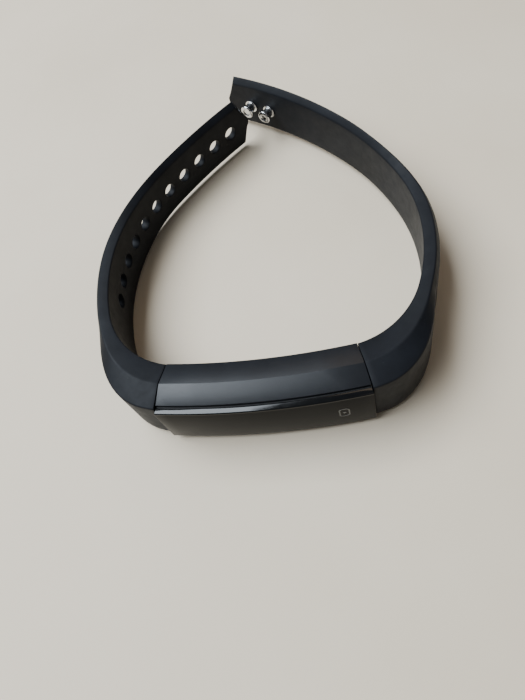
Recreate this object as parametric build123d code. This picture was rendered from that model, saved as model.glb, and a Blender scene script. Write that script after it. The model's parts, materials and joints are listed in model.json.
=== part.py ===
from build123d import *
import os
from math import sin, cos, radians

# Fitness tracker band standing on one long edge, its display facing -Y and its straps
# curling round to +Y.  +Z runs across the band's width.  Everything is drawn with the
# middle of the tracker's wrist side on the Z axis, and moved at the end so that the
# origin is the centre of the footprint, on the surface that the band stands on.
# "Depth" is measured outwards from the wrist side, across the band's thickness.

# ---- driving dimensions, mm ------------------------------------------------------
BAND_WIDTH = 16.0            # across the tracker, edge to edge
MID_Z = BAND_WIDTH / 2

# tracker module
HALF_LENGTH = 19.7           # half its length along the wrist side
WRIST_RADIUS = 165.0         # its wrist side bows gently to this radius
END_TILT = 12.0              # the end faces lean outwards by this, degrees
RIDGE_DEPTH = 5.0            # depth of the ridge between the two side facets
SHELL_DEPTH = 9.2            # depth of the front edge of the shell
FACET_RISE = 1.1             # the inner facet climbs this much to the ridge
FACET_DROP = 1.4             # the outer facet falls this much from the ridge
LENS_GAP = 0.45              # dark line between the shell and the lens
LENS_THICK = 1.45
LENS_HEIGHT = 12.8
LENS_BEVEL = 0.25

# cavity and back cover
CAVITY_HALF = 17.0
CAVITY_HEIGHT = 10.0
CAVITY_BACK = -1.2           # Y of the cavity's rear wall
COVER_HALF = 18.0            # along X
COVER_HEIGHT = 11.8
COVER_THICK = 0.9
SEAL_THICK = 0.3
SEAL_WIDTH = 0.5

# tongues that carry the straps, one of them the charging plug
TONGUE_DEPTH = 3.0           # depth of its middle at the end face
TONGUE_THICK = 2.2
TONGUE_WIDTH = 12.0
TONGUE_LENGTH = 11.5
SOCKET_CLEARANCE = 0.2
CONTACT_SIZE = (7.5, 0.08, 1.1)
CONTACT_PITCH = 2.5

# straps
SEAM = 0.15                  # gap between the tracker and a strap
ROOT_DEPTH = 10.2            # strap thickness where it meets the tracker
STRAP_DEPTH = 3.4            # thickness beside the wrist
TIP_DEPTH = 1.9              # thickness from the clasp's holes to the tip
RIDGE_SHARE = 0.76           # depth of the edge, as a share of the thickness
TAPER_FROM, TAPER_TO = 2.0, 20.0       # from the root's thickness to the strap's
THIN_FROM, THIN_TO = 35.0, 65.0        # and on to the tip's
TIP_NARROWING = 1.2          # the tip is this much narrower than the tracker
STRAP_RISE, STRAP_DROP = 0.4, 1.7
TIP_RISE, TIP_DROP = 1.5, 1.2
PANEL = 5.84                 # length of the flat panels, and the hole pitch
GRID_REACH = 20              # panels laid out each way from the first
TIP_SET_BACK = 2.8           # the corners of a tip are cut back this far
TIP_BLUNT = 2.0              # width left at its point
FLEX_GAP = 0.3               # between the round end of a section and its neighbour
FLEX_EDGE = 2.4              # the round end stops this far from each edge
FLEX_INSET = 0.05            # and lies this far inside the strap's faces

# plan of each strap's inner face: heading at the tracker, then (radius, degrees) arcs
CLASP_ARCS = [(18.5, 58.0), (42.0, 42.0), (69.0, 19.0), (105.0, 21.0)]
CLASP_LENGTH = 110.5
CLASP_FLEX = [22.5, 50.0, 77.5]
SIZING_ARCS = [(18.0, 64.0), (47.0, 27.0), (50.0, 27.0), (150.0, 14.0)]
SIZING_LENGTH = 94.0
HOLE_COUNT = 11
FIRST_HOLE = 29.0            # distance of the hole nearest the tracker
HOLE_RADIUS = 1.75
SIZING_FLEX = [22.5, 50.2, 73.2]

# clasp
PEG_PLACES = [97.0, 97.0 + PANEL]
PEG_SHANK_R = 1.0
PEG_COLLAR_R, PEG_COLLAR = 1.75, 0.4
PEG_NECK_R, PEG_NECK = 1.3, 1.5
PEG_HEAD_R, PEG_HEAD = 1.8, 1.0
PEG_DISH_R, PEG_DISH = 1.1, 0.3
PEG_SLOPE, PEG_ROUND = 0.3, 0.2
PLATE = (12.5, 0.8, 7.0)     # along the strap, thick, across it
PLATE_SINK = 0.5

# coin motor, its axis along Y
MOTOR_X, MOTOR_FRONT, MOTOR_BACK = 9.6, -5.5, -2.8
MOTOR_R, MOTOR_WALL = 4.0, 0.2
SHAFT_R, SHAFT_PLAY = 0.4, 0.05


# ---- helpers ---------------------------------------------------------------------
def box(x0, x1, y0, y1, z0, z1):
    """A box from its six faces."""
    size = (x1 - x0, y1 - y0, z1 - z0)
    middle = ((x0 + x1) / 2, (y0 + y1) / 2, (z0 + z1) / 2)
    return Pos(*middle) * Box(*size)


def section_plane(x, y, heading):
    """Plane across the band: its X is depth, its Y is up."""
    a = radians(heading)
    return Plane(origin=(x, y, 0), x_dir=(sin(a), -cos(a), 0), z_dir=(-cos(a), -sin(a), 0))


def facets(ridge, depth, rise, drop, width):
    """Six-sided outline of the band: flat inside and outside, two facets at each edge."""
    half = width / 2
    return [(0, MID_Z - half + rise), (0, MID_Z + half - rise), (ridge, MID_Z + half),
            (depth, MID_Z + half - drop), (depth, MID_Z - half + drop), (ridge, MID_Z - half)]


def outline_on(plane, points):
    return plane * make_face(Polyline(*points, close=True))


def lens_outline(back, front, height, bevel):
    """Outline of the lens, with its two long front edges bevelled."""
    half = height / 2
    return [(back, MID_Z - half), (back, MID_Z + half), (front - bevel, MID_Z + half),
            (front, MID_Z + half - bevel), (front, MID_Z - half + bevel),
            (front - bevel, MID_Z - half)]


# ---- tracker ---------------------------------------------------------------------
BOW = WRIST_RADIUS - (WRIST_RADIUS ** 2 - HALF_LENGTH ** 2) ** 0.5
SWEEP = 10.0                 # degrees each way, well past the end faces


def module_plane(side):
    """Plane of the module's end face on one side, -1 or 1."""
    return section_plane(side * HALF_LENGTH, BOW, END_TILT * side)


def end_face_x(y):
    """X of the right end face at a given Y."""
    return HALF_LENGTH + (BOW - y) * sin(radians(END_TILT)) / cos(radians(END_TILT))


def module_bar(points, half=None):
    """A bar of constant outline along the bowed module, cut off at X = half if given."""
    middle = Axis((0, WRIST_RADIUS, 0), (0, 0, 1))
    outline = outline_on(section_plane(0, 0, 0), points).rotate(middle, -SWEEP)
    bar = revolve(outline, middle, 2 * SWEEP)
    rear, front = 6.0, -16.0
    if half:
        return bar & box(-half, half, front, rear, -1, BAND_WIDTH + 1)
    ends = [(-end_face_x(rear), rear), (end_face_x(rear), rear),
            (end_face_x(front), front), (-end_face_x(front), front)]
    return bar & Pos(0, 0, -1) * extrude(make_face(Polyline(*ends, close=True)), BAND_WIDTH + 2)


def rectangle(depth0, depth1, height):
    half = height / 2
    return [(depth0, MID_Z - half), (depth0, MID_Z + half),
            (depth1, MID_Z + half), (depth1, MID_Z - half)]


def tongue(side, thick, width, inside, outside, depth=TONGUE_DEPTH):
    """A slab through the end face of the module, along that face's normal."""
    plane = module_plane(side)
    middle = plane.origin + plane.x_dir * depth + Vector(0, 0, MID_Z)
    along = Vector(side * cos(radians(END_TILT)), sin(radians(END_TILT)), 0)
    frame = Plane(origin=middle + along * (outside - inside) / 2, x_dir=along, z_dir=(0, 0, 1))
    return frame * Box(inside + outside, thick, width)


SEAL_INSET = 0.3
SEAL_HALF = COVER_HALF - SEAL_INSET
SEAL_HEIGHT = COVER_HEIGHT - 2 * SEAL_INSET
cover = module_bar(rectangle(0, COVER_THICK, COVER_HEIGHT), COVER_HALF)
seal_outer = module_bar(rectangle(COVER_THICK, COVER_THICK + SEAL_THICK, SEAL_HEIGHT), SEAL_HALF)
seal_inner = module_bar(rectangle(0, SHELL_DEPTH, SEAL_HEIGHT - 2 * SEAL_WIDTH),
                        SEAL_HALF - SEAL_WIDTH)
seal = seal_outer - seal_inner

PLUG_INSIDE = 3.2            # the plug's narrow tab reaches this far into the shell
PLUG_TAB_WIDTH = TONGUE_WIDTH - 2.6
LIP = 1.0                    # how far the cavity's opening is smaller at each end
LIP_SIDE = 0.6               # and along each long side
plug_slot = tongue(1, TONGUE_THICK, PLUG_TAB_WIDTH, PLUG_INSIDE, 1.0)
cavity = box(-CAVITY_HALF, CAVITY_HALF, -20, CAVITY_BACK,
             MID_Z - CAVITY_HEIGHT / 2, MID_Z + CAVITY_HEIGHT / 2)
cover_well = box(-CAVITY_HALF + LIP, CAVITY_HALF - LIP, CAVITY_BACK - 1, 5,
                 MID_Z - CAVITY_HEIGHT / 2 + LIP_SIDE, MID_Z + CAVITY_HEIGHT / 2 - LIP_SIDE)
shell = module_bar(facets(RIDGE_DEPTH, SHELL_DEPTH, FACET_RISE, FACET_DROP, BAND_WIDTH))
plain_tongue = tongue(-1, TONGUE_THICK, TONGUE_WIDTH, 1.0, TONGUE_LENGTH)
housing = shell - cover - seal_outer - cavity - cover_well - plug_slot + plain_tongue

GASKET_HEIGHT = LENS_HEIGHT - 1.2
gasket_outer = module_bar(rectangle(SHELL_DEPTH, SHELL_DEPTH + LENS_GAP, GASKET_HEIGHT))
gasket_inner = module_bar(rectangle(SHELL_DEPTH - 1, SHELL_DEPTH + 1, CAVITY_HEIGHT), CAVITY_HALF)
gasket = gasket_outer - gasket_inner
LENS_BACK = SHELL_DEPTH + LENS_GAP
LENS_FRONT = LENS_BACK + LENS_THICK
lens = module_bar(lens_outline(LENS_BACK, LENS_FRONT, LENS_HEIGHT, LENS_BEVEL))

# the touch key's printed outline and dot, films on the front of the lens
KEY_X, KEY_WIDTH, KEY_HEIGHT = 15.8, 2.2, 3.6
KEY_LINE, KEY_INK, KEY_CORNER, KEY_DOT = 0.28, 0.05, 0.7, 0.35
key_outline = RectangleRounded(KEY_WIDTH, KEY_HEIGHT, KEY_CORNER)
key_inside = RectangleRounded(KEY_WIDTH - 2 * KEY_LINE, KEY_HEIGHT - 2 * KEY_LINE,
                              KEY_CORNER - KEY_LINE)
key_frame = Plane(origin=(KEY_X, -5, MID_Z), x_dir=(1, 0, 0), z_dir=(0, -1, 0))
film = module_bar(rectangle(LENS_FRONT, LENS_FRONT + KEY_INK, KEY_HEIGHT + 1))
KEY_REACH = 10.0
key_ring = film & key_frame * extrude(key_outline - key_inside, KEY_REACH)
key_dot = film & key_frame * extrude(Circle(KEY_DOT), KEY_REACH)
key_mark = Compound(children=[key_ring, key_dot])

# charging plug: a board that slides out of the shell, four contacts on its front
plug_tab = tongue(1, TONGUE_THICK, PLUG_TAB_WIDTH, PLUG_INSIDE, 0.0)
plug_board = tongue(1, TONGUE_THICK, TONGUE_WIDTH, 0.0, TONGUE_LENGTH) + plug_tab
CONTACT_START = 2.5          # distance from the end face to the contacts
CONTACT_END = CONTACT_START + CONTACT_SIZE[0]
contact_depth = TONGUE_DEPTH + (TONGUE_THICK + CONTACT_SIZE[1]) / 2
contact_row = []
for place in range(4):
    strip = tongue(1, CONTACT_SIZE[1], CONTACT_SIZE[2], -CONTACT_START, CONTACT_END, contact_depth)
    contact_row.append(Pos(0, 0, (place - 1.5) * CONTACT_PITCH) * strip)
contacts = Compound(children=contact_row)

# electronics
BOARD_FRONT, BOARD_BACK = -6.4, -5.6
main_board = box(-16.5, 16.5, BOARD_FRONT, BOARD_BACK, 3.4, 12.6)
display_panel = box(-13.5, 11.0, -8.5, -7.2, 3.75, 12.25)
flex_profile = [(-13.5, -8.0), (-15.4, -8.0), (-15.4, BOARD_FRONT), (-15.2, BOARD_FRONT),
                (-15.2, -7.8), (-13.5, -7.8)]
display_flex = Pos(0, 0, 5.0) * extrude(make_face(Polyline(*flex_profile, close=True)), 6.0)
touch_electrode = box(14.3, 16.3, -8.1, BOARD_FRONT, 6.5, 9.5)
CHIP_TOP = -7.1
processor_chip = box(-6.0, 0.0, CHIP_TOP, BOARD_FRONT, 5.0, 11.0)
power_chip = box(7.5, 10.5, CHIP_TOP, BOARD_FRONT, 8.5, 11.5)
motion_chip = box(3.0, 5.0, CHIP_TOP, BOARD_FRONT, 5.0, 7.0)
crystal = box(-10.2, -7.0, CHIP_TOP, BOARD_FRONT, 9.2, 11.0)
antenna_chip = box(12.0, 13.6, CHIP_TOP, BOARD_FRONT, 4.2, 11.2)
battery_cell = box(-16.2, 2.8, -5.3, -1.9, 3.4, 12.6)
battery_pad = box(-14.0, 1.0, -1.9, -1.4, 4.5, 11.5)


def battery_lead(z):
    """One insulated lead from the cell to the board."""
    route = FilletPolyline((2.8, -3.6, z), (4.3, -3.6, z), (4.3, BOARD_BACK, z), radius=0.6)
    return sweep(Plane(origin=route @ 0, z_dir=route % 0) * Circle(0.3), path=route)


lead_red, lead_black = battery_lead(9.5), battery_lead(6.5)


# ---- coin motor ------------------------------------------------------------------
def disc(radius, y0, y1, hole=0.0):
    """A disc about the motor's axis, from y0 to y1, with a hole if one is given."""
    along_y = Location((MOTOR_X, (y0 + y1) / 2, MID_Z), (90, 0, 0))
    body = along_y * Cylinder(radius, y1 - y0)
    return body - along_y * Cylinder(hole, y1 - y0 + 1) if hole else body


BASE_TOP = MOTOR_FRONT + MOTOR_WALL
motor_case = disc(MOTOR_R, BASE_TOP, MOTOR_BACK) - disc(MOTOR_R - MOTOR_WALL, BASE_TOP - 1,
                                                        MOTOR_BACK - MOTOR_WALL)
motor_base = disc(MOTOR_R, MOTOR_FRONT, BASE_TOP) + box(4.9, 6.5, MOTOR_FRONT, BASE_TOP, 7, 9)
motor_shaft = disc(SHAFT_R, BASE_TOP, MOTOR_BACK - MOTOR_WALL)
motor_magnet = disc(2.6, BASE_TOP, BASE_TOP + 0.5, 1.2)
ROTOR_Y = BASE_TOP + 0.75
motor_rotor = disc(3.3, ROTOR_Y, ROTOR_Y + 0.4, SHAFT_R + SHAFT_PLAY)
weight_ring = disc(3.5, ROTOR_Y + 0.4, ROTOR_Y + 1.25, 1.3)
motor_weight = weight_ring & box(MOTOR_X - 5, MOTOR_X + 5, -9, 0, MID_Z - 5, MID_Z - 0.4)


# ---- straps ----------------------------------------------------------------------
def place_on(arcs, distance):
    """Point and heading on a strap's inner face, at a distance from the tracker."""
    start = module_plane(1).origin
    x, y, heading = start.X, start.Y, END_TILT
    for number, (radius, turn) in enumerate(arcs):
        length = radius * radians(turn)
        last = number == len(arcs) - 1
        share = distance / length if last else min(1.0, distance / length)
        after = heading + turn * share
        x += radius * (sin(radians(after)) - sin(radians(heading)))
        y += radius * (cos(radians(heading)) - cos(radians(after)))
        heading = after
        distance -= length
        if distance <= 0:
            break
    return x, y, heading


def eased(distance, start, end):
    """0 up to start, easing to 1 at end."""
    t = min(1.0, max(0.0, (distance - start) / (end - start)))
    return t * t * (3 - 2 * t)


def along_strap(distance, root, strap, tip):
    """A size that changes from the root's value to the strap's, and on to the tip's."""
    first = eased(distance, TAPER_FROM, TAPER_TO)
    second = eased(distance, THIN_FROM, THIN_TO)
    return root + (strap - root) * first + (tip - strap) * second


def strap_depth(distance):
    return along_strap(distance, ROOT_DEPTH, STRAP_DEPTH, TIP_DEPTH)


def strap_width(distance, length):
    """Width across the strap, cut in to a blunt point at the tip."""
    width = BAND_WIDTH - TIP_NARROWING * distance / length
    past = max(0.0, distance - (length - TIP_SET_BACK)) / TIP_SET_BACK
    return width + (TIP_BLUNT - width) * past


def strap_section(arcs, distance, length):
    depth = strap_depth(distance)
    ridge = along_strap(distance, RIDGE_DEPTH, RIDGE_SHARE * STRAP_DEPTH, RIDGE_SHARE * TIP_DEPTH)
    width = strap_width(distance, length)
    fit = min(1.0, width / (4 * STRAP_DROP))
    rise = fit * along_strap(distance, FACET_RISE, STRAP_RISE, TIP_RISE)
    drop = fit * along_strap(distance, FACET_DROP, STRAP_DROP, TIP_DROP)
    points = facets(ridge, depth, rise, drop, width)
    return outline_on(section_plane(*place_on(arcs, distance)), points)


def strap_stations(start, end, first_panel, length):
    """Distances of the sections between two ends, on a grid of flat panels."""
    grid = [first_panel + PANEL * i for i in range(-GRID_REACH, GRID_REACH)]
    inner = [d for d in grid if start + 0.8 < d < end - 0.8]
    if end == length:
        inner = [d for d in inner if d < length - TIP_SET_BACK - 0.8] + [length - TIP_SET_BACK]
    return [start] + inner + [end]


def strap_piece(arcs, stations, length):
    return loft([strap_section(arcs, d, length) for d in stations], ruled=True)


def flex_axis(arcs, distance):
    """Point in plan of the vertical line that a section bends about."""
    plane = section_plane(*place_on(arcs, distance))
    return plane.origin + plane.x_dir * strap_depth(distance) / 2


def flex_round(arcs, distance):
    """Round end of a section, about its bending line."""
    middle = flex_axis(arcs, distance)
    round_end = Cylinder(strap_depth(distance) / 2 - FLEX_INSET, BAND_WIDTH - 2 * FLEX_EDGE)
    return Pos(middle.X, middle.Y, MID_Z) * round_end


def panel_frame(arcs, stations, distance):
    """Frame on the inner face of the flat panel that holds a distance, its Z pointing out
    of the strap, and the panel's thickness there."""
    before = max(d for d in stations if d <= distance)
    after = min(d for d in stations if d > distance)
    x0, y0, _ = place_on(arcs, before)
    x1, y1, _ = place_on(arcs, after)
    share = (distance - before) / (after - before)
    along = Vector(x1 - x0, y1 - y0, 0).normalized()
    outward = Vector(along.Y, -along.X, 0)
    middle = Vector(x0 + share * (x1 - x0), y0 + share * (y1 - y0), MID_Z)
    thickness = strap_depth(before) + share * (strap_depth(after) - strap_depth(before))
    return Plane(origin=middle, x_dir=along, z_dir=outward), thickness


def strap_sections(arcs, length, bends, first_panel):
    """The root, the sections after it, and the stations of each."""
    backs = [bend - strap_depth(bend) / 2 - FLEX_GAP for bend in bends]
    starts, ends = [SEAM] + bends, backs + [length]
    solids, grids = [], []
    for number, (start, end) in enumerate(zip(starts, ends)):
        if number == 0:
            stations = [SEAM, 2.0, 5.0, 8.0, 11.0, 14.0, 17.0, end]
        else:
            stations = strap_stations(start, end, first_panel, length)
        solid = strap_piece(arcs, stations, length)
        if number:
            solid = solid + flex_round(arcs, start)
        solids.append(solid)
        grids.append(stations)
    return solids, grids


def socket(side):
    """Space for a tongue in a strap's root."""
    return tongue(side, TONGUE_THICK + 2 * SOCKET_CLEARANCE, TONGUE_WIDTH + 2 * SOCKET_CLEARANCE,
                  0.0, TONGUE_LENGTH + 2 * SOCKET_CLEARANCE)


# sizing strap: a row of holes, built on the +X side and mirrored
HOLES = [FIRST_HOLE + PANEL * i for i in range(HOLE_COUNT)]
sizing_solids, sizing_grids = strap_sections(SIZING_ARCS, SIZING_LENGTH, SIZING_FLEX,
                                             FIRST_HOLE + PANEL / 2)
hole_places = []
for distance in HOLES:
    number = sum(distance > bend for bend in SIZING_FLEX)
    frame, thickness = panel_frame(SIZING_ARCS, sizing_grids[number], distance)
    hole_places.append((frame.origin + frame.z_dir * thickness / 2, frame.z_dir, thickness))
    sizing_solids[number] -= frame * Cylinder(HOLE_RADIUS, 3 * STRAP_DEPTH)
sizing_solids[0] -= socket(1)
sizing_solids = [mirror(solid, about=Plane.YZ) for solid in sizing_solids]

# clasp strap: two pegs near its tip, riveted to a plate let into its outer face
clasp_solids, clasp_grids = strap_sections(CLASP_ARCS, CLASP_LENGTH, CLASP_FLEX,
                                           PEG_PLACES[0] - PANEL / 2)
clasp_solids[0] -= socket(1)


def peg_profile():
    """Half outline of a peg: radius against height above the strap's inner face."""
    top = PEG_COLLAR + PEG_NECK
    end, foot = top + PEG_HEAD, PLATE_SINK - TIP_DEPTH
    points = [(0, foot), (PEG_SHANK_R, foot), (PEG_SHANK_R, 0), (PEG_COLLAR_R, 0),
              (PEG_COLLAR_R, PEG_COLLAR), (PEG_NECK_R, PEG_COLLAR), (PEG_NECK_R, top),
              (PEG_HEAD_R, top + PEG_SLOPE), (PEG_HEAD_R, end - PEG_ROUND),
              (PEG_HEAD_R - PEG_ROUND, end), (PEG_DISH_R, end),
              (PEG_DISH_R - PEG_DISH, end - PEG_DISH), (0, end - PEG_DISH)]
    return make_face(Plane.XZ * Polyline(*points, close=True))


peg_solid = revolve(peg_profile(), axis=Axis.Z)
pegs, peg_frames = [], []
for distance in PEG_PLACES:
    frame = panel_frame(CLASP_ARCS, clasp_grids[3], distance)[0]
    peg_frames.append(frame)
    inward = Plane(origin=frame.origin, x_dir=frame.x_dir, z_dir=-frame.z_dir)
    pegs.append(inward * peg_solid)
    clasp_solids[3] -= frame * Cylinder(PEG_SHANK_R, 3 * STRAP_DEPTH)
plate_middle = (peg_frames[0].origin + peg_frames[1].origin) / 2
plate_along = (peg_frames[1].origin - peg_frames[0].origin).normalized()
plate_out = Vector(plate_along.Y, -plate_along.X, 0)
plate_frame = Plane(origin=plate_middle + plate_out * (TIP_DEPTH - PLATE_SINK),
                    x_dir=plate_along, z_dir=plate_out)
plate_blank = extrude(RectangleRounded(PLATE[0], PLATE[2], 1.5), PLATE[1])
clasp_plate = plate_frame * plate_blank
clasp_solids[3] -= clasp_plate


# ---- nodes -----------------------------------------------------------------------
nodes = {
    "housing": housing, "back_cover": cover, "cover_seal": seal,
    "lens": lens, "lens_gasket": gasket, "touch_key_mark": key_mark,
    "charging_plug": plug_board, "plug_contacts": contacts,
    "main_board": main_board, "display_panel": display_panel, "display_flex": display_flex,
    "touch_electrode": touch_electrode, "processor_chip": processor_chip,
    "power_chip": power_chip, "motion_chip": motion_chip, "crystal": crystal,
    "antenna_chip": antenna_chip, "battery_cell": battery_cell, "battery_pad": battery_pad,
    "battery_lead_red": lead_red, "battery_lead_black": lead_black,
    "motor_case": motor_case, "motor_base": motor_base, "motor_shaft": motor_shaft,
    "motor_magnet": motor_magnet, "motor_rotor": motor_rotor, "motor_weight": motor_weight,
    "clasp_plate": clasp_plate, "clasp_peg_inner": pegs[0], "clasp_peg_tip": pegs[1],
}
section_names = ["root", "shoulder", "middle", "tip"]
for name, sizing, clasp in zip(section_names, sizing_solids, clasp_solids):
    nodes["sizing_strap_" + name] = sizing
    nodes["clasp_strap_" + name] = clasp

boxes = [solid.bounding_box() for solid in nodes.values()]
low = Vector(*(min(getattr(item.min, axis) for item in boxes) for axis in "XYZ"))
high = Vector(*(max(getattr(item.max, axis) for item in boxes) for axis in "XYZ"))
shift = Vector(-(low.X + high.X) / 2, -(low.Y + high.Y) / 2, -low.Z)
os.makedirs("parts", exist_ok=True)
for name, solid in nodes.items():
    export_step(Pos(shift) * solid, "parts/" + name + ".step")


# ---- places that the record states, in the part's own frame ----------------------
def tell(name, point, direction, length=0.0):
    place = point + shift
    numbers = [place.X, place.Y, place.Z, direction.X, direction.Y, direction.Z, length]
    print("PLACE", name, " ".join(format(value, ".4f") for value in numbers))


def flipped(vector):
    return Vector(-vector.X, vector.Y, vector.Z)


UP = Vector(0, 0, 1)
for name, bend in zip(section_names[1:], SIZING_FLEX):
    tell("sizing_" + name, flipped(flex_axis(SIZING_ARCS, bend)), UP)
for name, bend in zip(section_names[1:], CLASP_FLEX):
    tell("clasp_" + name, flex_axis(CLASP_ARCS, bend), UP)
for number, (middle, outward, thickness) in enumerate(hole_places, start=1):
    tell("hole_" + str(number), flipped(middle), flipped(outward), thickness)
for name, frame in zip(["inner", "tip"], peg_frames):
    tell("peg_" + name, frame.origin, -frame.z_dir)
tell("motor_axis", Vector(MOTOR_X, ROTOR_Y, MID_Z), Vector(0, 1, 0))
pull = Vector(cos(radians(END_TILT)), sin(radians(END_TILT)), 0)
tell("clasp_pull", module_plane(1).origin, pull)
tell("sizing_pull", flipped(module_plane(1).origin), flipped(pull))
tell("plug", module_plane(1).origin + module_plane(1).x_dir * TONGUE_DEPTH + UP * MID_Z, pull)
tell("shift", Vector(0, 0, 0), UP)
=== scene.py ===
import json
from math import ceil, cos, pi, radians, sin, sqrt

import bmesh
import bpy
from mathutils import Matrix, Vector


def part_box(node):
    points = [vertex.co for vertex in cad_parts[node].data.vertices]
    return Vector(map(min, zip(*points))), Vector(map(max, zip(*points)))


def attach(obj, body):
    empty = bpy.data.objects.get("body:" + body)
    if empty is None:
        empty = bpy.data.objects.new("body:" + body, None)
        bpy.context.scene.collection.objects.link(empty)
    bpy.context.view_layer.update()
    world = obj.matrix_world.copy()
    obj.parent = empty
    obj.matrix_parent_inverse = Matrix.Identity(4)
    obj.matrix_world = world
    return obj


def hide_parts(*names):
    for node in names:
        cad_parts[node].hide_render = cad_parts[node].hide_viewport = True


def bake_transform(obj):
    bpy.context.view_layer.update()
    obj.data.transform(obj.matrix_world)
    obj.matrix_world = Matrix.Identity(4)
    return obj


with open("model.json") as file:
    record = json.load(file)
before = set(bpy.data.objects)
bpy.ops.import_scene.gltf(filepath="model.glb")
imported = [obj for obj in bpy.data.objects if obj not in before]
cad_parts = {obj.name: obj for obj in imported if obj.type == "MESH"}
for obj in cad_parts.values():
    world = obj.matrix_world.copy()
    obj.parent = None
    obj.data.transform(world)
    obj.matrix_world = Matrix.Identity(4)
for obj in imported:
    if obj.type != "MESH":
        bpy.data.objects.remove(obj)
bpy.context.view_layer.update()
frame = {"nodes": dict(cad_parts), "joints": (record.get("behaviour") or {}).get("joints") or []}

# Fitness tracker band.  Everything is in metres, in the CAD's own frame.  A place on a
# strap is (distance from the tracker along its inner face, depth outwards from that face,
# height).

MM = 0.001
nodes = frame["nodes"]
joint = {j["name"]: j for j in frame["joints"]}
lens_low, lens_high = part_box("lens")

# ---- sizes, the same as the CAD part's --------------------------------------------
BAND_WIDTH = 16.0 * MM
MID_Z = BAND_WIDTH / 2
HALF_LENGTH = 19.7 * MM
WRIST_RADIUS = 165.0 * MM
END_TILT = radians(12.0)
LENS_FRONT = 11.1 * MM
RIDGE_DEPTH = 5.0 * MM
FACET_RISE, FACET_DROP = 1.1 * MM, 1.4 * MM
ROOT_DEPTH, STRAP_DEPTH, TIP_DEPTH = 10.2 * MM, 3.4 * MM, 1.9 * MM
RIDGE_SHARE = 0.76
TAPER_FROM, TAPER_TO = 2.0 * MM, 20.0 * MM
THIN_FROM, THIN_TO = 35.0 * MM, 65.0 * MM
TIP_NARROWING = 1.2 * MM
STRAP_RISE, STRAP_DROP = 0.4 * MM, 1.7 * MM
TIP_RISE, TIP_DROP = 1.5 * MM, 1.2 * MM
TIP_SET_BACK, TIP_BLUNT = 2.8 * MM, 2.0 * MM
SEAM = 0.15 * MM
PANEL = 5.84 * MM
CLASP_ARCS = [(18.5, 58.0), (42.0, 42.0), (69.0, 19.0), (105.0, 21.0)]
SIZING_ARCS = [(18.0, 64.0), (47.0, 27.0), (50.0, 27.0), (150.0, 14.0)]
CLASP_LENGTH, SIZING_LENGTH = 110.5 * MM, 94.0 * MM
CLASP_FLEX = [22.5 * MM, 50.0 * MM, 77.5 * MM]
HOLE_RADIUS = 1.75 * MM
HOLES = [29.0 * MM + PANEL * i for i in range(11)]
SIZING_FLEX = [22.5 * MM, 50.2 * MM, 73.2 * MM]

# the middle of the module's wrist side, in plan
ORIGIN = Vector(((lens_low.x + lens_high.x) / 2, lens_low.y + LENS_FRONT, 0))
BOW = WRIST_RADIUS - sqrt(WRIST_RADIUS ** 2 - HALF_LENGTH ** 2)


# ---- places -----------------------------------------------------------------------
def place_on(arcs, distance):
    """Point in plan and heading on a +X strap's inner face, before ORIGIN is added."""
    x, y, heading = HALF_LENGTH, BOW, END_TILT
    for number, (radius, turn) in enumerate(arcs):
        radius, turn = radius * MM, radians(turn)
        length = radius * turn
        last = number == len(arcs) - 1
        share = distance / length if last else min(1.0, distance / length)
        after = heading + turn * share
        x += radius * (sin(after) - sin(heading))
        y += radius * (cos(heading) - cos(after))
        heading = after
        distance -= length
        if distance <= 0:
            break
    return x, y, heading


def strap_point(arcs, side, distance, depth, z):
    x, y, heading = place_on(arcs, distance)
    x += depth * sin(heading)
    y -= depth * cos(heading)
    return Vector((side * x, y, z)) + ORIGIN


def strap_heading(arcs, side, distance):
    heading = place_on(arcs, distance)[2]
    return Vector((side * cos(heading), sin(heading), 0))


# ---- mesh helpers -----------------------------------------------------------------
SHARP_ANGLE = 40.0           # edges that turn more than this stay sharp, degrees
CORNER_LIMIT = 0.42          # a rounded corner takes at most this share of each side
MERGE_DISTANCE = 1e-6
FLAT_ANGLE = 0.5             # neighbouring faces within this are merged, degrees
BEVEL_ANGLE = 20.0           # edges of a CAD node that turn more than this are rounded
BEVEL_SHARP = 30.0           # and these still look sharp after it
BEVEL_SEGMENTS = 2


def finish_mesh(name, bm, sharp=SHARP_ANGLE):
    """Object from a bmesh: outward normals, smooth but for its sharp edges."""
    bmesh.ops.recalc_face_normals(bm, faces=bm.faces)
    mesh = bpy.data.meshes.new(name)
    bm.to_mesh(mesh)
    bm.free()
    mesh.polygons.foreach_set("use_smooth", [True] * len(mesh.polygons))
    mesh.set_sharp_from_angle(angle=radians(sharp))
    obj = bpy.data.objects.new(name, mesh)
    bpy.context.scene.collection.objects.link(obj)
    return obj


def rounded(points, cut, steps):
    """A closed outline with each corner turned into a short curve."""
    result = []
    count = len(points)
    for i, corner in enumerate(points):
        before, after = Vector(points[i - 1]), Vector(points[(i + 1) % count])
        corner = Vector(corner)
        back, on = before - corner, after - corner
        start = corner + back.normalized() * min(cut, CORNER_LIMIT * back.length)
        end = corner + on.normalized() * min(cut, CORNER_LIMIT * on.length)
        for k in range(steps + 1):
            t = k / steps
            result.append(start * (1 - t) ** 2 + corner * 2 * t * (1 - t) + end * t * t)
    return result


def subtract(obj, cutters):
    """Cuts other closed meshes out of an object."""
    for cutter in cutters:
        cut = obj.modifiers.new("cut", "BOOLEAN")
        cut.operation, cut.solver, cut.object = "DIFFERENCE", "EXACT", cutter
        evaluated = obj.evaluated_get(bpy.context.evaluated_depsgraph_get())
        mesh = bpy.data.meshes.new_from_object(evaluated)
        obj.modifiers.clear()
        mesh.name = obj.name
        obj.data = mesh
        obj.data.polygons.foreach_set("use_smooth", [True] * len(obj.data.polygons))
        obj.data.set_sharp_from_angle(angle=radians(SHARP_ANGLE))
    for cutter in cutters:
        bpy.data.objects.remove(cutter)
    return obj


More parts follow.
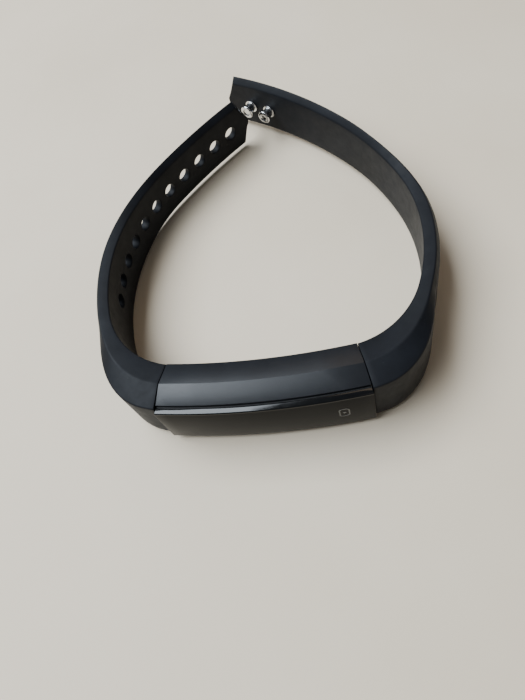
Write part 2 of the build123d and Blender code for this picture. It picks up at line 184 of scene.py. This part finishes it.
def finished_copy(node, bevel):
    """A copy of a CAD node with its edges rounded, which takes the node's place."""
    bm = bmesh.new()
    bm.from_mesh(nodes[node].data)
    bmesh.ops.remove_doubles(bm, verts=bm.verts, dist=MERGE_DISTANCE)
    bmesh.ops.dissolve_limit(bm, angle_limit=radians(FLAT_ANGLE), verts=bm.verts, edges=bm.edges)
    edges = [e for e in bm.edges
             if len(e.link_faces) == 2 and e.calc_face_angle(0) > radians(BEVEL_ANGLE)]
    bmesh.ops.bevel(bm, geom=edges, offset=bevel, segments=BEVEL_SEGMENTS, profile=0.5,
                    affect="EDGES", clamp_overlap=True)
    obj = finish_mesh(node + "_body", bm, BEVEL_SHARP)
    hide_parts(node)
    return obj


# ---- straps -----------------------------------------------------------------------
HOLE_CELL = PANEL / 2
ROW_SHARES = [-1.0, -2 / 3, -1 / 3, 0.0, 1 / 3, 2 / 3, 1.0]
CORNER_STEPS = 4
CORNER_CUT = 0.35 * MM       # how far a profile's corner is rounded
HOLE_SIDES = 24
HOLE_LIP = 0.16 * MM         # radius of a hole's rounded lip
LIP_STEPS = 3
CELL_REACH = 3               # a hole's cell is this many stations and rows each way
ROW_LIMIT = 0.7              # rows stay within this share of a narrow face
NEAR_STATION = 0.3           # a station this close to an end, as a share of a step, is left out
END_EDGE = 0.08 * MM         # rounding of a strap's end at the tracker
END_SHARE = 0.3              # its middle ring, as a share of it
ROUNDING = 1e-6              # allowance for rounding when counting steps
SEAM_ROUNDING = 1e-9
TIP_SHARES = (0.2, 0.4, 0.6, 0.75, 0.85)
TIP_ROUND = ((0.2 * MM, 0.04 * MM), (0.06 * MM, 0.18 * MM), (0.0, 0.42 * MM))


def eased(distance, start, end):
    t = min(1.0, max(0.0, (distance - start) / (end - start)))
    return t * t * (3 - 2 * t)


def along_strap(distance, root, strap, tip):
    """A size that changes from the root's value to the strap's, and on to the tip's."""
    first = eased(distance, TAPER_FROM, TAPER_TO)
    second = eased(distance, THIN_FROM, THIN_TO)
    return root + (strap - root) * first + (tip - strap) * second


def strap_depth(distance):
    return along_strap(distance, ROOT_DEPTH, STRAP_DEPTH, TIP_DEPTH)


def strap_profile(distance, length, inset=0.0):
    """Closed outline of a strap as (depth, height), the flat faces in rows."""
    depth = strap_depth(distance)
    ridge = along_strap(distance, RIDGE_DEPTH, RIDGE_SHARE * STRAP_DEPTH,
                        RIDGE_SHARE * TIP_DEPTH)
    width = BAND_WIDTH - TIP_NARROWING * distance / length
    past = max(0.0, distance - (length - TIP_SET_BACK)) / TIP_SET_BACK
    width += (TIP_BLUNT - width) * past
    fit = min(1.0, width / (4 * STRAP_DROP))
    rise = fit * along_strap(distance, FACET_RISE, STRAP_RISE, TIP_RISE)
    drop = fit * along_strap(distance, FACET_DROP, STRAP_DROP, TIP_DROP)
    half = width / 2 - inset
    corners = [(inset, half - rise), (ridge, half), (depth - inset, half - drop),
               (depth - inset, drop - half), (ridge, -half), (inset, rise - half)]
    curves = rounded(corners, CORNER_CUT, CORNER_STEPS)
    step = CORNER_STEPS + 1
    arcs = [curves[i * step:(i + 1) * step] for i in range(6)]

    def face_rows(face_depth, edge, sign):
        reach = min(HOLE_CELL, ROW_LIMIT * edge)
        outer = (reach + edge) / 2
        rows = [-outer] + [reach * k for k in ROW_SHARES] + [outer]
        return [Vector((face_depth, sign * row)) for row in rows]

    inner_edge, outer_edge = arcs[0][0].y, arcs[2][-1].y
    outline = face_rows(inset, inner_edge, 1) + arcs[0]
    outline.append((arcs[0][-1] + arcs[1][0]) / 2)
    outline += arcs[1]
    outline.append((arcs[1][-1] + arcs[2][0]) / 2)
    outline += arcs[2] + face_rows(depth - inset, outer_edge, -1) + arcs[3]
    outline.append((arcs[3][-1] + arcs[4][0]) / 2)
    outline += arcs[4]
    outline.append((arcs[4][-1] + arcs[5][0]) / 2)
    outline += arcs[5]
    return outline


ROWS = len(ROW_SHARES) + 2
INNER_ROWS = list(range(1, ROWS - 1))
OUTER_START = ROWS + 3 * (CORNER_STEPS + 1) + 2
OUTER_ROWS = list(range(OUTER_START + ROWS - 2, OUTER_START, -1))


def stations_between(start, end, holes):
    """Distances of the rings: six to each hole's cell, and as close elsewhere."""
    step = PANEL / (2 * CELL_REACH)
    first = (holes[0] if holes else 0.0) - HOLE_CELL
    k = ceil((start - first) / step + ROUNDING)
    result = [start]
    while first + k * step < end - NEAR_STATION * step:
        if first + k * step > start + NEAR_STATION * step:
            result.append(first + k * step)
        k += 1
    return result + [end]


def hole_rings(point, middle):
    """Rings of a punched hole from the inner face to the outer, its lips rounded."""
    rings = []
    for outside in (False, True):
        side = []
        for k in range(LIP_STEPS + 1):
            turn = k / LIP_STEPS * pi / 2
            radius = HOLE_RADIUS + HOLE_LIP * (1 - sin(turn))
            side.append((radius, HOLE_LIP * (1 - cos(turn)), outside))
        rings += side[::-1] if outside else side + [(HOLE_RADIUS, 0.0, None)]
    result = []
    for radius, level, outside in rings:
        ring = []
        for k in range(HOLE_SIDES):
            around = 2 * pi * k / HOLE_SIDES
            place = middle + radius * cos(around)
            depth = strap_depth(place)
            here = level
            if outside is None:
                here = depth / 2
            elif outside:
                here = depth - level
            ring.append(point(place, here, MID_Z + radius * sin(around)))
        result.append(ring)
    return result


def strap_skin(name, arcs, side, length, start, end, holes):
    """One continuous closed length of a strap, with its punched holes."""
    def point(distance, depth, z):
        return strap_point(arcs, side, distance, depth, z)

    holes = [h for h in holes if start < h < end]
    body_end = min(end, length - TIP_SET_BACK)
    stations = stations_between(start, body_end, holes)
    insets = [0.0] * len(stations)
    if start <= SEAM + SEAM_ROUNDING:
        stations[0:1] = [start, start + END_SHARE * END_EDGE, start + END_EDGE]
        insets[0:1] = [END_EDGE, END_SHARE * END_EDGE, 0.0]
    if end > body_end:
        stations += [body_end + TIP_SET_BACK * share for share in TIP_SHARES]
        insets += [0.0] * len(TIP_SHARES)
        stations += [length - back for back, inset in TIP_ROUND]
        insets += [inset for back, inset in TIP_ROUND]
    bm = bmesh.new()
    profiles = [strap_profile(d, length, inset) for d, inset in zip(stations, insets)]
    rings = [[point(d, p.x, MID_Z + p.y) for p in profile]
             for d, profile in zip(stations, profiles)]
    made = [[bm.verts.new(p) for p in ring] for ring in rings]
    count = len(made[0])
    punched = set()
    unused = []
    cells = []
    for hole in holes:
        middle = min(range(len(stations)), key=lambda k: abs(stations[k] - hole))
        cells.append((hole, middle))
        for k in range(middle - CELL_REACH, middle + CELL_REACH):
            for rows in (INNER_ROWS, OUTER_ROWS):
                punched.update((k, min(a, b)) for a, b in zip(rows, rows[1:]))
        for k in range(middle - CELL_REACH + 1, middle + CELL_REACH):
            unused += [made[k][row] for row in INNER_ROWS[1:-1] + OUTER_ROWS[1:-1]]
    for k in range(len(made) - 1):
        for i in range(count):
            if (k, i) not in punched:
                j = (i + 1) % count
                bm.faces.new((made[k][i], made[k][j], made[k + 1][j], made[k + 1][i]))
    bm.faces.new(made[0])
    bm.faces.new(made[-1])
    reach = CELL_REACH
    path = [(reach, r) for r in range(reach + 1)]
    path += [(c, reach) for c in range(reach - 1, -reach - 1, -1)]
    path += [(-reach, r) for r in range(reach - 1, -reach - 1, -1)]
    path += [(c, -reach) for c in range(1 - reach, reach + 1)]
    path += [(reach, r) for r in range(1 - reach, 0)]
    for hole, middle in cells:
        borders = []
        for rows in (INNER_ROWS, OUTER_ROWS):
            borders.append([made[middle + c][rows[reach + r]] for c, r in path])
        loops = [borders[0]]
        loops += [[bm.verts.new(p) for p in ring] for ring in hole_rings(point, hole)]
        loops.append(borders[1])
        for first, second in zip(loops, loops[1:]):
            for i in range(HOLE_SIDES):
                j = (i + 1) % HOLE_SIDES
                bm.faces.new((first[i], first[j], second[j], second[i]))
    for vert in unused:
        bm.verts.remove(vert)
    return finish_mesh(name, bm)


def box_cutter(name, middle, along, out, size):
    """A closed box, size along / out / up, to cut with."""
    bm = bmesh.new()
    bmesh.ops.create_cube(bm, size=1.0)
    up = along.cross(out)
    axes = Matrix((along, out, up)).transposed()
    for vert in bm.verts:
        vert.co = axes @ Vector(c * s for c, s in zip(vert.co, size)) + middle
    return finish_mesh(name, bm)


SECTIONS = ["root", "shoulder", "middle", "tip"]
SKINS = ["near", "centre", "far"]
BLEND_REACH = 10.5 * MM      # a length each way from a hinge
SOCKET_SIZE = (11.7 * MM, 2.6 * MM, 12.4 * MM)
TONGUE_DEPTH = 3.0 * MM


def make_strap(label, arcs, side, length, bends, holes):
    """Three skins, each spanning one of the strap's hinges."""
    cuts = [SEAM]
    for before, after in zip(bends, bends[1:]):
        cell = round(((before + after) / 2 - HOLES[0] + HOLE_CELL) / PANEL)
        cuts.append(HOLES[0] - HOLE_CELL + PANEL * cell)
    cuts.append(length)
    made = []
    for number, skin in enumerate(SKINS):
        name = f"{label}_strap_{skin}"
        obj = strap_skin(name, arcs, side, length, cuts[number], cuts[number + 1], holes)
        if number == 0:
            along = strap_heading(arcs, side, 0.0)
            out = Vector((along.y, -along.x * side, 0))
            middle = strap_point(arcs, side, 0.0, TONGUE_DEPTH, MID_Z)
            middle += along * SOCKET_SIZE[0] / 2
            subtract(obj, [box_cutter("socket", middle, along, out, SOCKET_SIZE)])
        reach = strap_heading(arcs, side, bends[number]) * BLEND_REACH
        pivot = Vector(joint[f"{label}_flex_{SECTIONS[number + 1]}"]["pos_m"])
        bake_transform(obj)
        gone = [f"{label}_strap_{SECTIONS[number + 1]}"]
        if number == 0:
            gone.append(f"{label}_strap_root")
        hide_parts(*gone)
        made.append(obj)
    return made


strap_pieces = make_strap("sizing", SIZING_ARCS, -1, SIZING_LENGTH, SIZING_FLEX, HOLES)
strap_pieces += make_strap("clasp", CLASP_ARCS, 1, CLASP_LENGTH, CLASP_FLEX, [])


# ---- materials --------------------------------------------------------------------
def start_material(name):
    material = bpy.data.materials.new(name)
    material.use_nodes = True
    tree = material.node_tree
    shader = tree.nodes["Principled BSDF"]
    place = tree.nodes.new("ShaderNodeTexCoord").outputs["Object"]
    return material, tree, shader, place


def noise(tree, place, size, detail=3.0, rough=0.5, stretch=None):
    """Noise whose features are about size metres across."""
    if stretch:
        mapping = tree.nodes.new("ShaderNodeMapping")
        mapping.inputs["Scale"].default_value = stretch
        tree.links.new(place, mapping.inputs["Vector"])
        place = mapping.outputs["Vector"]
    node = tree.nodes.new("ShaderNodeTexNoise")
    node.inputs["Scale"].default_value = 1.0 / size
    node.inputs["Detail"].default_value = detail
    node.inputs["Roughness"].default_value = rough
    tree.links.new(place, node.inputs["Vector"])
    return node.outputs["Fac"]


def speckle(tree, place, size, spread):
    """Small spots, one to a cell about size metres across."""
    node = tree.nodes.new("ShaderNodeTexVoronoi")
    node.inputs["Scale"].default_value = 1.0 / size
    tree.links.new(place, node.inputs["Vector"])
    return ranged(tree, node.outputs["Distance"], spread, 0.0, 0.0, 1.0)


def ranged(tree, value, low, high, to_low, to_high):
    node = tree.nodes.new("ShaderNodeMapRange")
    for key, number in (("From Min", low), ("From Max", high), ("To Min", to_low),
                        ("To Max", to_high)):
        node.inputs[key].default_value = number
    tree.links.new(value, node.inputs["Value"])
    return node.outputs["Result"]


def combine(tree, operation, first, second):
    node = tree.nodes.new("ShaderNodeMath")
    node.operation = operation
    for socket, value in zip(node.inputs, (first, second)):
        if isinstance(value, (int, float)):
            socket.default_value = value
        else:
            tree.links.new(value, socket)
    return node.outputs["Value"]


def blend_colors(tree, factor, first, second):
    node = tree.nodes.new("ShaderNodeMix")
    node.data_type = "RGBA"
    tree.links.new(factor, node.inputs["Factor"])
    for key, value in (("A", first), ("B", second)):
        socket = [s for s in node.inputs if s.name == key and s.type == "RGBA"][0]
        if isinstance(value, tuple):
            socket.default_value = (*value, 1.0)
        else:
            tree.links.new(value, socket)
    return [s for s in node.outputs if s.type == "RGBA"][0]


def bump(tree, shader, height, strength, distance, after=None):
    node = tree.nodes.new("ShaderNodeBump")
    node.inputs["Strength"].default_value = strength
    node.inputs["Distance"].default_value = distance
    tree.links.new(height, node.inputs["Height"])
    if after:
        tree.links.new(after, node.inputs["Normal"])
    tree.links.new(node.outputs["Normal"], shader.inputs["Normal"])
    return node.outputs["Normal"]


def surface(name, dark, light, grain, rough=(0.4, 0.6), bump_height=0.02, metallic=0.0, patch=None,
            specular=0.5, dust=0.0, dust_color=(0.4, 0.42, 0.45), stretch=None):
    """A moulded or cut surface: uneven colour, uneven gloss, a fine grain and dust."""
    material, tree, shader, place = start_material(name)
    cloud = noise(tree, place, patch or 8 * grain, 4.0, 0.6, stretch)
    color = blend_colors(tree, ranged(tree, cloud, 0.3, 0.7, 0, 1), dark, light)
    if dust:
        spots = speckle(tree, place, 1.3 * MM, 0.07)
        where = ranged(tree, noise(tree, place, 7 * MM, 2.0), 0.45, 0.62, 0.0, dust)
        color = blend_colors(tree, combine(tree, "MULTIPLY", spots, where), color, dust_color)
    tree.links.new(color, shader.inputs["Base Color"])
    gloss = noise(tree, place, 4 * grain, 3.0, 0.6, stretch)
    tree.links.new(ranged(tree, gloss, 0.25, 0.75, *rough), shader.inputs["Roughness"])
    fine = noise(tree, place, grain, 3.0, 0.6, stretch)
    bump(tree, shader, fine, 0.5, bump_height * MM)
    shader.inputs["Metallic"].default_value = metallic
    shader.inputs["Specular IOR Level"].default_value = specular
    return material


def rubber_material():
    """Soft black moulded rubber: fine matt grain, a cool bloom, dust and rubbed streaks."""
    material, tree, shader, place = start_material("strap_rubber_skin")
    cloud = noise(tree, place, 9 * MM, 5.0, 0.62)
    color = blend_colors(tree, ranged(tree, cloud, 0.32, 0.68, 0, 1),
                         (0.0035, 0.0042, 0.0060), (0.0065, 0.0078, 0.0110))
    rub = noise(tree, place, 1.1 * MM, 4.0, 0.7, (0.22, 0.22, 1.0))
    rubbed = ranged(tree, rub, 0.58, 0.74, 0.0, 0.35)
    color = blend_colors(tree, rubbed, color, (0.011, 0.0125, 0.016))
    dusty = noise(tree, place, 5 * MM, 2.0)
    spots = speckle(tree, place, 0.9 * MM, 0.075)
    where = ranged(tree, dusty, 0.42, 0.66, 0.0, 0.65)
    color = blend_colors(tree, combine(tree, "MULTIPLY", spots, where), color, (0.16, 0.17, 0.18))
    tree.links.new(color, shader.inputs["Base Color"])
    gloss = noise(tree, place, 2.4 * MM, 4.0, 0.6)
    tree.links.new(ranged(tree, gloss, 0.25, 0.75, 0.50, 0.64), shader.inputs["Roughness"])
    soft = bump(tree, shader, noise(tree, place, 2.8 * MM, 2.0), 0.25, 0.05 * MM)
    bump(tree, shader, noise(tree, place, 0.16 * MM, 3.0, 0.65), 0.40, 0.018 * MM, soft)
    shader.inputs["Specular IOR Level"].default_value = 0.17
    shader.inputs["Sheen Weight"].default_value = 0.02
    shader.inputs["Sheen Roughness"].default_value = 0.5
    return material


def glass_material(name, index):
    """Black window glass: mirror-like, with faint finger smears and a few fine scratches."""
    material, tree, shader, place = start_material(name)
    cloud = noise(tree, place, 6 * MM, 3.0, 0.5)
    color = blend_colors(tree, ranged(tree, cloud, 0.3, 0.7, 0, 1), (0.0030, 0.0032, 0.0036),
                         (0.0050, 0.0052, 0.0056))
    tree.links.new(color, shader.inputs["Base Color"])
    smear = noise(tree, place, 5 * MM, 5.0, 0.7, (0.6, 1.0, 1.4))
    scratch = noise(tree, place, 0.22 * MM, 2.0, 0.5, (0.04, 1.0, 1.0))
    lines = ranged(tree, scratch, 0.70, 0.76, 0.0, 0.12)
    film = ranged(tree, smear, 0.42, 0.70, 0.05, 0.16)
    tree.links.new(combine(tree, "ADD", film, lines), shader.inputs["Roughness"])
    bump(tree, shader, noise(tree, place, 7 * MM, 1.0), 0.12, 0.02 * MM)
    shader.inputs["IOR"].default_value = index
    return material


def chrome_material():
    """Polished plated steel, faintly brushed, with small handling marks."""
    material, tree, shader, place = start_material("clasp_chrome_face")
    cloud = noise(tree, place, 1.2 * MM, 4.0, 0.6)
    color = blend_colors(tree, ranged(tree, cloud, 0.3, 0.7, 0, 1), (0.60, 0.60, 0.61),
                         (0.82, 0.82, 0.83))
    tree.links.new(color, shader.inputs["Base Color"])
    tree.links.new(ranged(tree, cloud, 0.3, 0.7, 0.10, 0.24), shader.inputs["Roughness"])
    bump(tree, shader, noise(tree, place, 0.18 * MM, 3.0), 0.2, 0.006 * MM)
    shader.inputs["Metallic"].default_value = 1.0
    return material


def board_material():
    """Green circuit board with darker copper runs under the lacquer."""
    material, tree, shader, place = start_material("board_face")
    wave = tree.nodes.new("ShaderNodeTexBrick")
    wave.inputs["Scale"].default_value = 420.0
    wave.inputs["Mortar Size"].default_value = 0.06
    wave.inputs["Color1"].default_value = (0.010, 0.085, 0.030, 1)
    wave.inputs["Color2"].default_value = (0.014, 0.110, 0.040, 1)
    wave.inputs["Mortar"].default_value = (0.030, 0.180, 0.060, 1)
    tree.links.new(place, wave.inputs["Vector"])
    cloud = noise(tree, place, 3 * MM, 3.0)
    color = blend_colors(tree, ranged(tree, cloud, 0.4, 0.7, 0, 0.4), wave.outputs["Color"],
                         (0.008, 0.050, 0.020))
    tree.links.new(color, shader.inputs["Base Color"])
    tree.links.new(ranged(tree, cloud, 0.3, 0.7, 0.22, 0.38), shader.inputs["Roughness"])
    bump(tree, shader, noise(tree, place, 0.5 * MM), 0.3, 0.02 * MM)
    return material


FINISHES = {
    "housing_plastic": dict(dark=(0.0070, 0.0080, 0.0105), light=(0.0105, 0.0120, 0.0150),
                            grain=0.12 * MM, rough=(0.34, 0.42), bump_height=0.012, patch=6 * MM,
                            specular=0.42, dust=0.12, dust_color=(0.08, 0.09, 0.10)),
    "cover_plastic": dict(dark=(0.010, 0.011, 0.012), light=(0.016, 0.017, 0.019),
                          grain=0.25 * MM, rough=(0.36, 0.5), patch=6 * MM, dust=0.3),
    "seal_rubber": dict(dark=(0.004, 0.004, 0.004), light=(0.007, 0.007, 0.008),
                        grain=0.2 * MM, rough=(0.55, 0.7)),
    "key_ink": dict(dark=(0.070, 0.072, 0.070), light=(0.100, 0.102, 0.100), grain=0.12 * MM,
                    rough=(0.3, 0.45), bump_height=0.004),
    "display": dict(dark=(0.004, 0.005, 0.006), light=(0.007, 0.008, 0.010), grain=0.1 * MM,
                    rough=(0.15, 0.25), bump_height=0.003),
    "flex_film": dict(dark=(0.30, 0.12, 0.020), light=(0.42, 0.19, 0.035), grain=0.3 * MM,
                      rough=(0.25, 0.4), bump_height=0.008, stretch=(0.2, 1.0, 1.0)),
    "chip": dict(dark=(0.012, 0.012, 0.013), light=(0.020, 0.020, 0.021), grain=0.08 * MM,
                 rough=(0.5, 0.65), bump_height=0.008),
    "ceramic": dict(dark=(0.45, 0.43, 0.38), light=(0.60, 0.58, 0.52), grain=0.12 * MM,
                    rough=(0.45, 0.6), bump_height=0.008),
    "can_metal": dict(dark=(0.50, 0.50, 0.50), light=(0.68, 0.68, 0.67), grain=0.12 * MM,
                      rough=(0.25, 0.4), bump_height=0.006, metallic=1.0, stretch=(0.1, 1, 1)),
    "gold": dict(dark=(0.72, 0.48, 0.16), light=(0.90, 0.65, 0.26), grain=0.1 * MM,
                 rough=(0.18, 0.32), bump_height=0.004, metallic=1.0, stretch=(0.2, 1, 1)),
    "cell_foil": dict(dark=(0.50, 0.51, 0.53), light=(0.66, 0.67, 0.69), grain=0.6 * MM,
                      rough=(0.28, 0.48), bump_height=0.05, metallic=1.0, stretch=(1, 1, 0.4)),
    "foam": dict(dark=(0.030, 0.030, 0.032), light=(0.075, 0.075, 0.078), grain=0.25 * MM,
                 rough=(0.85, 0.95), bump_height=0.12),
    "wire_red": dict(dark=(0.36, 0.012, 0.010), light=(0.48, 0.022, 0.016), grain=0.2 * MM,
                     rough=(0.32, 0.45), bump_height=0.008),
    "wire_black": dict(dark=(0.008, 0.008, 0.008), light=(0.016, 0.016, 0.016), grain=0.2 * MM,
                       rough=(0.32, 0.45), bump_height=0.008),
    "steel": dict(dark=(0.45, 0.45, 0.46), light=(0.62, 0.62, 0.63), grain=0.15 * MM,
                  rough=(0.22, 0.38), bump_height=0.006, metallic=1.0, stretch=(1, 0.1, 1)),
    "magnet": dict(dark=(0.16, 0.16, 0.17), light=(0.26, 0.26, 0.27), grain=0.12 * MM,
                   rough=(0.4, 0.55), bump_height=0.01, metallic=0.8),
    "tungsten": dict(dark=(0.20, 0.20, 0.21), light=(0.31, 0.31, 0.32), grain=0.1 * MM,
                     rough=(0.38, 0.55), bump_height=0.012, metallic=1.0),
}
materials = {slot: surface(slot + "_face", **finish) for slot, finish in FINISHES.items()}
materials["strap_rubber"] = rubber_material()
materials["lens_glass"] = glass_material("lens_glass_face", 1.13)
materials["lens_edge"] = glass_material("lens_glass_edge", 1.48)
materials["clasp_chrome"] = chrome_material()
materials["board"] = board_material()


def dress(obj, slot):
    obj.data.materials.clear()
    obj.data.materials.append(materials[slot])
    return obj


# ---- module, pegs and plate, with their edges rounded ------------------------------
TOP_FACING = 0.2             # the bevel's faces turn up by more than this
ROUNDED_NODES = {            # bevel in mm, finish, body
    "housing": (0.10, "housing_plastic", "tracker"),
    "lens": (0.14, "lens_glass", "tracker"),
    "back_cover": (0.10, "cover_plastic", "tracker"),
    "charging_plug": (0.15, "chip", "tracker"),
    "clasp_plate": (0.12, "clasp_chrome", "clasp_tip"),
    "clasp_peg_inner": (0.05, "clasp_chrome", "clasp_tip"),
    "clasp_peg_tip": (0.05, "clasp_chrome", "clasp_tip"),
}
for node, (bevel, slot, body) in ROUNDED_NODES.items():
    piece = finished_copy(node, bevel * MM)
    dress(piece, slot)
    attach(piece, body)

# the lens's flat front has an anti-glare coat, and the bevel along its top has none
lens_mesh = bpy.data.objects["lens_body"].data
lens_mesh.materials.append(materials["lens_edge"])
for face in lens_mesh.polygons:
    face.material_index = int(face.normal.z > TOP_FACING)

for piece in strap_pieces:
    dress(piece, "strap_rubber")

# the other CAD nodes keep their shape and get a finish of their own
for node in nodes.values():
    for entry in node.material_slots:
        slot_name = entry.material.name.split(".")[0]
        if slot_name in materials:
            entry.material = materials[slot_name]


# ---- floor, light and camera --------------------------------------------------------
def floor_material():
    material, tree, shader, place = start_material("pale_floor")
    cloud = noise(tree, place, 60 * MM, 4.0, 0.55)
    color = blend_colors(tree, ranged(tree, cloud, 0.3, 0.7, 0, 1), (0.70, 0.59, 0.44),
                         (0.76, 0.65, 0.50))
    tree.links.new(color, shader.inputs["Base Color"])
    tree.links.new(ranged(tree, cloud, 0.3, 0.7, 0.55, 0.7), shader.inputs["Roughness"])
    bump(tree, shader, noise(tree, place, 0.8 * MM, 3.0), 0.2, 0.05 * MM)
    return material


FLOOR_HALF = 2.5
floor_mesh = bmesh.new()
bmesh.ops.create_grid(floor_mesh, x_segments=4, y_segments=4, size=FLOOR_HALF)
floor = finish_mesh("floor", floor_mesh)
floor.data.materials.append(floor_material())


def area_light(name, place, target, size, power, color):
    data = bpy.data.lights.new(name, "AREA")
    data.shape = "RECTANGLE"
    data.size, data.size_y = size
    data.energy = power
    data.color = color
    light = bpy.data.objects.new(name, data)
    light.location = place
    aim = Vector(target) - Vector(place)
    light.rotation_euler = aim.to_track_quat("-Z", "Y").to_euler()
    bpy.context.scene.collection.objects.link(light)


area_light("window", (-0.74, 0.15, 1.0), (-0.74, 0.15, 0), (1.08, 1.20), 44.0, (0.84, 0.92, 1.0))
area_light("room", (0.9, -0.7, 1.3), (0, 0, 0), (1.6, 1.6), 1.5, (1.0, 0.93, 0.86))
area_light("lamp", (0.30, 1.15, 1.1), (0, 0, 0), (0.8, 0.7), 2.4, (1.0, 0.78, 0.56))

world = bpy.data.worlds.new("studio")
world.use_nodes = True
world.node_tree.nodes["Background"].inputs["Color"].default_value = (0.80, 0.84, 0.90, 1)
world.node_tree.nodes["Background"].inputs["Strength"].default_value = 0.10
bpy.context.scene.world = world

CAMERA_PLACE = Vector((20.97, -93.20, 120.70)) * MM
CAMERA_HEADING, CAMERA_PITCH, CAMERA_ROLL = -20.00, 60.25, -23.90
FOCAL_PIXELS, FRAME_HEIGHT, SENSOR = 600.0, 700, 36.0
NEAR_CLIP = 0.005
heading, pitch, roll = (radians(a) for a in (CAMERA_HEADING, CAMERA_PITCH, CAMERA_ROLL))
forward = Vector((sin(heading) * cos(pitch), cos(heading) * cos(pitch), -sin(pitch)))
level = forward.cross(Vector((0, 0, 1))).normalized()
upright = level.cross(forward)
right = level * cos(roll) + upright * sin(roll)
up = upright * cos(roll) - level * sin(roll)
camera_data = bpy.data.cameras.new("camera")
camera_data.sensor_width = SENSOR
camera_data.lens = FOCAL_PIXELS / FRAME_HEIGHT * SENSOR
camera_data.clip_start = NEAR_CLIP
camera = bpy.data.objects.new("camera", camera_data)
turn = Matrix((right, up, -forward)).transposed().to_4x4()
camera.matrix_world = Matrix.Translation(CAMERA_PLACE) @ turn
bpy.context.scene.collection.objects.link(camera)
bpy.context.scene.camera = camera
